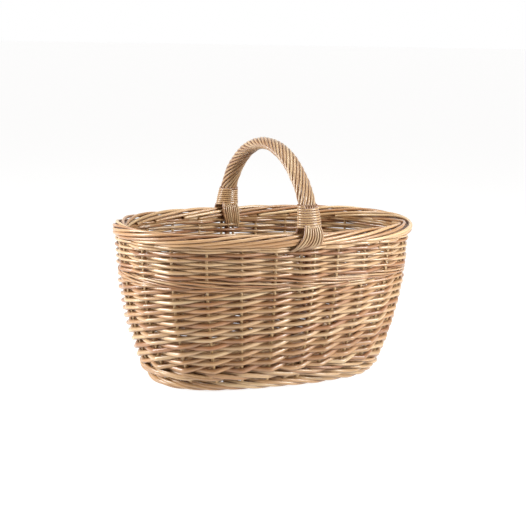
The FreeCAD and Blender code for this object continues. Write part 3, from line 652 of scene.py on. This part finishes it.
def arch(s):
    """Handle line at distance s from the front spring point: y, z and the outward direction."""
    s = np.asarray(s, float)
    a = np.where(s < LEN_SH, math.pi - s / SHO, np.where(s < LEN_SH + LEN_CR, math.pi - TURN - (s - LEN_SH) / CROWN, TURN - (s - LEN_SH - LEN_CR) / SHO))
    cy = np.where(s < LEN_SH, -INS, np.where(s < LEN_SH + LEN_CR, 0.0, INS))
    cz = np.where((s < LEN_SH) | (s >= LEN_SH + LEN_CR), SPRING, CZ)
    R = np.where((s < LEN_SH) | (s >= LEN_SH + LEN_CR), SHO, CROWN)
    return cy + R * np.cos(a), cz + R * np.sin(a), np.cos(a), np.sin(a)


NSTR = 12
EW, ET, SR = 10.8, 6.6, 2.5
tt = np.linspace(0, 2 * np.pi, 721)
el = np.concatenate([[0], np.cumsum(np.hypot(np.diff(EW * np.sin(tt)), np.diff(ET * np.cos(tt))))])
el /= el[-1]


def ell_angle(f):
    return np.interp(np.asarray(f) % 1.0, el, tt)


PITCH = 150.0
FC, BC = 6.8, 2.5            # where the roping meets each collar's foot, along the arch
front_end, back_end = FC, ARCH - BC
rope = Bundle()
strand_tint = [np.array([rng.uniform(0, 0.75), rng.uniform(0, 1), rng.uniform(0, 1)]) for _ in range(NSTR)]
for q in range(NSTR):
    s = np.linspace(front_end, back_end, 190)
    y, z, ny, nz = arch(s)
    f = q / NSTR + (s - front_end) / PITCH
    a = ell_angle(f)
    # angle 0 is the outer face; the section's wide way is along X
    px, pr = EW * np.sin(a), ET * np.cos(a)
    nxv, nrv = np.sin(a) / EW, np.cos(a) / ET
    ln = np.hypot(nxv, nrv)
    nxv, nrv = nxv / ln, nrv / ln
    lift = wander(len(s), 30, 0.15)
    px, pr = px + nxv * lift, pr + nrv * lift
    P = np.stack([px, y + pr * ny, z + pr * nz], -1)
    Nn = np.stack([nxv, nrv * ny, nrv * nz], -1)
    # painted shade on each strand's flanks and inner side
    rope.rod(P, SR * rng.normal(1, 0.05), normal=Nn, sides=12, tint=strand_tint[q], flank_shade=(0.95, 0.95, 0.6))
rope.make("handle_rope_strands", M_ROPE, "roping", ["handle_roping"])

bow = Bundle()
legy = 133.924
leg = np.linspace(0, 1, 24)
front_leg = np.stack([np.zeros(24), -(legy + (RIM_W - legy) * leg), 126.0 + (215.0 - 126.0) * leg], -1)
s = np.linspace(0, ARCH, 90)
y, z, ny, nz = arch(s)
mid_line = np.stack([np.zeros(90), y, z], -1)
back_leg = front_leg[::-1] * np.array([1, -1, 1])
line = np.concatenate([front_leg, [[0, -RIM_W, 225.0]], mid_line, [[0, RIM_W, 225.0]], back_leg])
rad = np.concatenate([2.5 + 2.4 * leg, [4.9], np.full(90, 4.9), [4.9], (2.5 + 2.4 * leg)[::-1]])
# painted shade: the whole bow rod is darkened
bow.rod(line, rad, sides=14, up=(1, 0, 0), tint=np.array([0.6, 0.5, 0.5]), shade=0.6)
bow.make("handle_bow_rod", M_CORE, "bow", ["handle_bow"])

for tag, sg in (("front", -1), ("back", 1)):
    ln_ = Bundle()
    w0, w1 = float(halves(140.0)[1]), float(halves(219.0)[1])
    tq = np.linspace(0, 1, 16)
    ln_.rod(np.stack([np.full(16, sg * 10.0), sg * (w0 + (w1 - w0) * tq), 140 + 79 * tq], -1), 2.1, sides=10, up=(1, 0, 0))
    ln_.make(tag + "_liner_rod", M_STAKE, "pegs_liners", [tag + "_handle_liner"])
    pg = Bundle()
    yl = legy + (RIM_W - legy) * (204.0 - 126.0) / 89.0
    pg.rod(np.stack([np.linspace(-6.5, 6.5, 6), np.full(6, sg * yl), np.full(6, 204.0)], -1), 1.5, sides=10, up=(0, 0, 1))
    pg.make(tag + "_peg_rod", M_STICK, "pegs_liners", [tag + "_handle_peg"])

# ------------------------------------------------------------------ collars
for tag, sg, zl, zh in (("front", -1, 241.6, 273.4), ("back", 1, 238.2, 266.0)):
    col = Bundle()
    turns = 8.3 if sg < 0 else 7.4
    m = int(turns * 44)
    q = np.linspace(0, turns, m)
    f = q / turns
    z = zl + 1.9 + (zh - zl - 3.8) * f
    yc = sg * (INS + np.sqrt(SHO ** 2 - (z - SPRING) ** 2))
    wide = 18.6 + (15.6 - 18.6) * f - 1.05
    thick = 13.4 + (12.6 - 13.4) * f - 1.05
    a = 2 * np.pi * q + 2.2
    p = np.stack([wide * np.cos(a), yc + thick * np.sin(a), z], -1)
    n = np.stack([np.cos(a) / wide, np.sin(a) / thick, np.zeros(m)], -1)
    n /= np.linalg.norm(n, axis=1, keepdims=True)
    # painted shade on the wraps' flanks and inner side, giving dark gaps between turns
    col.rod(p, 1.68 + wander(m, 40, 0.06), normal=n, sides=12, flat=0.66, tint=np.array([0.3, 0.3, 0.5]), flank_shade=(0.9, 1.0, 0.5))
    # the filling under the skein: strands' continuation seen in the gaps, darkened with painted shade
    for e in range(22):
        aa = e / 22 * 2 * np.pi
        zz = np.linspace(zl + 0.4, zh + 0.6, 12)
        ff = (zz - zl) / (zh - zl)
        yy = sg * (INS + np.sqrt(SHO ** 2 - (zz - SPRING) ** 2))
        w_, t_ = 16.4 - 2.6 * ff - 0.8, 11.6 - 0.9 * ff - 0.8
        col.rod(np.stack([w_ * np.cos(aa), yy + t_ * np.sin(aa), zz], -1), 2.0, sides=8, shade=0.75)
    col.make(tag + "_collar_skein", M_SKEIN, "collar", [tag + "_handle_collar"])

    # strands below the collar: over the outside of the rim and down the inside, then tucked
    for side, name in ((1, "outer"), (-1, "inner")):
        st = Bundle()
        count = 8
        for e in range(count):
            f0 = (e - (count - 1) / 2) / (count - 1)          # -0.5 .. 0.5 across the fan
            top_x = f0 * 24.0
            u = np.linspace(0, 1, 34)
            if side > 0:
                zz = curve_through([0, .25, .5, .75, 1.0], [zl + 6, 235.5, 226.0, 217.6, 211.0], u)
                oo = curve_through([0, .25, .5, .75, 1.0], [9.6, 12.6, 13.0, 11.6, 3.0], u)
            else:
                zz = curve_through([0, .25, .5, .75, 1.0], [zl + 6, 235.5, 225.0, 214.6, 204.0], u)
                oo = curve_through([0, .25, .5, .75, 1.0], [8.2, 12.2, 12.8, 11.4, 5.4], u)
            oo = oo + 1.1 * (1 - (2 * f0) ** 2) * np.sin(np.pi * u)
            if side > 0:
                ahead = -2.0 * f0 * sg                       # 1 on the side that the fan leans away from
                lean = curve_through([0, .25, .5, .75, 1.0], [0, -0.8, 1.2 - 1.6 * ahead, 7.0 - 4.5 * ahead, 18.5 - 1.0 * ahead], u)
                spread = curve_through([0, .3, .6, 1.0], [0.84, 1.12, 1.10, 0.82], u)
            else:
                lean = curve_through([0, .25, .5, .75, 1.0], [0, 0.3, 1.8, 4.0, 6.5], u)
                spread = curve_through([0, .3, .6, 1.0], [0.84, 1.0, 0.98, 0.80], u)
            zz = zz + rng.normal(0, 0.9) * smooth(0.5, 1.0, u)
            x = sg * lean + top_x * spread
            y = sg * (RIM_W + side * oo) - sg * (x ** 2) / 800.0
            nn = np.tile([0.0, sg * side * 1.0, 0.25], (34, 1))
            # painted shade on each strand's flanks and inner side
            st.rod(np.stack([x, y, zz], -1), 1.95 * rng.normal(1, 0.05), sides=12, normal=nn, tint=strand_tint[(e * 3 + (0 if side > 0 else 5)) % NSTR], flank_shade=(0.95, 0.95, 0.4))
        st.make("%s_%s_strand_rods" % (tag, name), M_ROPE, "strands", ["%s_%s_strands" % (tag, name)])

# ------------------------------------------------------------------ floor, light, camera
floor_mesh = bpy.data.meshes.new("floor")
F = 30.0
floor_mesh.from_pydata([(-F, -F, -0.0005), (F, -F, -0.0005), (F, F, -0.0005), (-F, F, -0.0005)], [], [(0, 1, 2, 3)])
floor = bpy.data.objects.new("floor", floor_mesh)
bpy.context.scene.collection.objects.link(floor)
fm = bpy.data.materials.new("floor_pale")
fm.use_nodes = True
fb = fm.node_tree.nodes["Principled BSDF"]
fb.inputs["Base Color"].default_value = (0.30, 0.30, 0.30, 1)
fb.inputs["Roughness"].default_value = 0.9
fb.inputs["Emission Color"].default_value = (1.0, 1.0, 1.0, 1)
fb.inputs["Emission Strength"].default_value = 0.84
floor.data.materials.append(fm)

scene = bpy.context.scene
scene.view_settings.view_transform = "Standard"
scene.view_settings.look = "None"
world = bpy.data.worlds.new("studio")
scene.world = world
world.use_nodes = True
wn = world.node_tree
wn.nodes.clear()
wo = wn.nodes.new("ShaderNodeOutputWorld")
bg = wn.nodes.new("ShaderNodeBackground")
tc = wn.nodes.new("ShaderNodeTexCoord")
dot = wn.nodes.new("ShaderNodeVectorMath")
dot.operation = "DOT_PRODUCT"
CAM_YAW, CAM_PIT, CAM_D, CAM_Z0, CAM_ROLL = -0.4516, 0.1777, 2000.0, 167.4, 0.0236
fwd = np.array([-math.sin(CAM_YAW) * math.cos(CAM_PIT), math.cos(CAM_YAW) * math.cos(CAM_PIT), -math.sin(CAM_PIT)])
dot.inputs[1].default_value = (float(fwd[0]), float(fwd[1]), 0.0)
ramp = wn.nodes.new("ShaderNodeValToRGB")
ramp.color_ramp.elements[0].position = 0.0
ramp.color_ramp.elements[0].color = (0.050, 0.040, 0.035, 1)
ramp.color_ramp.elements[1].position = 0.93
ramp.color_ramp.elements[1].color = (1.0, 1.0, 1.0, 1)
mid_el = ramp.color_ramp.elements.new(0.5)
mid_el.color = (0.285, 0.262, 0.245, 1)
mid_el = ramp.color_ramp.elements.new(0.84)
mid_el.color = (0.44, 0.43, 0.42, 1)
mr = wn.nodes.new("ShaderNodeMapRange")
mr.inputs["From Min"].default_value = -1.0
mr.inputs["From Max"].default_value = 1.0
wn.links.new(tc.outputs["Generated"], dot.inputs[0])
wn.links.new(dot.outputs["Value"], mr.inputs["Value"])
wn.links.new(mr.outputs[0], ramp.inputs[0])
wn.links.new(ramp.outputs[0], bg.inputs["Color"])
bg.inputs["Strength"].default_value = 1.0
wn.links.new(bg.outputs[0], wo.inputs["Surface"])


def area(name, pos, target, sx, sy, power):
    d = bpy.data.lights.new(name, "AREA")
    d.shape = "RECTANGLE"
    d.size, d.size_y = sx, sy
    d.energy = power
    d.color = (0.965, 1.0, 0.985)
    o = bpy.data.objects.new(name, d)
    o.location = pos
    o.rotation_euler = (Vector(target) - Vector(pos)).to_track_quat("-Z", "Y").to_euler()
    scene.collection.objects.link(o)
    return o


right_dir = np.array([math.cos(CAM_YAW), math.sin(CAM_YAW), 0.0])
back_dir = -np.array([fwd[0], fwd[1], 0.0]) / math.hypot(fwd[0], fwd[1])


def studio(side, back, up):
    v = right_dir * side + back_dir * back
    return (float(v[0]), float(v[1]), up)


area("soft_left", studio(-1.25, 0.30, 0.70), (0, 0, 0.15), 0.5, 0.9, 33)
area("soft_right", studio(1.25, 0.50, 0.75), (0, 0, 0.15), 0.5, 0.9, 31)
area("soft_top", studio(0.1, -0.1, 1.5), (0, 0, 0.2), 0.9, 0.7, 9)

cam = bpy.data.cameras.new("camera")
cam.sensor_width = 36.0
cam.lens = 1326.0 * 36.0 / 526.0
cam.shift_x = -1.5 / 526.0
cam.dof.use_dof = False
co = bpy.data.objects.new("camera", cam)
right = np.array([math.cos(CAM_YAW), math.sin(CAM_YAW), 0.0])
upv = np.cross(right, fwd)
r2 = right * math.cos(CAM_ROLL) + upv * math.sin(CAM_ROLL)
u2 = upv * math.cos(CAM_ROLL) - right * math.sin(CAM_ROLL)
pos = (-fwd * CAM_D + np.array([0, 0, CAM_Z0])) * MM
co.matrix_world = Matrix(((r2[0], u2[0], -fwd[0], pos[0]), (r2[1], u2[1], -fwd[1], pos[1]), (r2[2], u2[2], -fwd[2], pos[2]), (0, 0, 0, 1)))
scene.collection.objects.link(co)
scene.camera = co
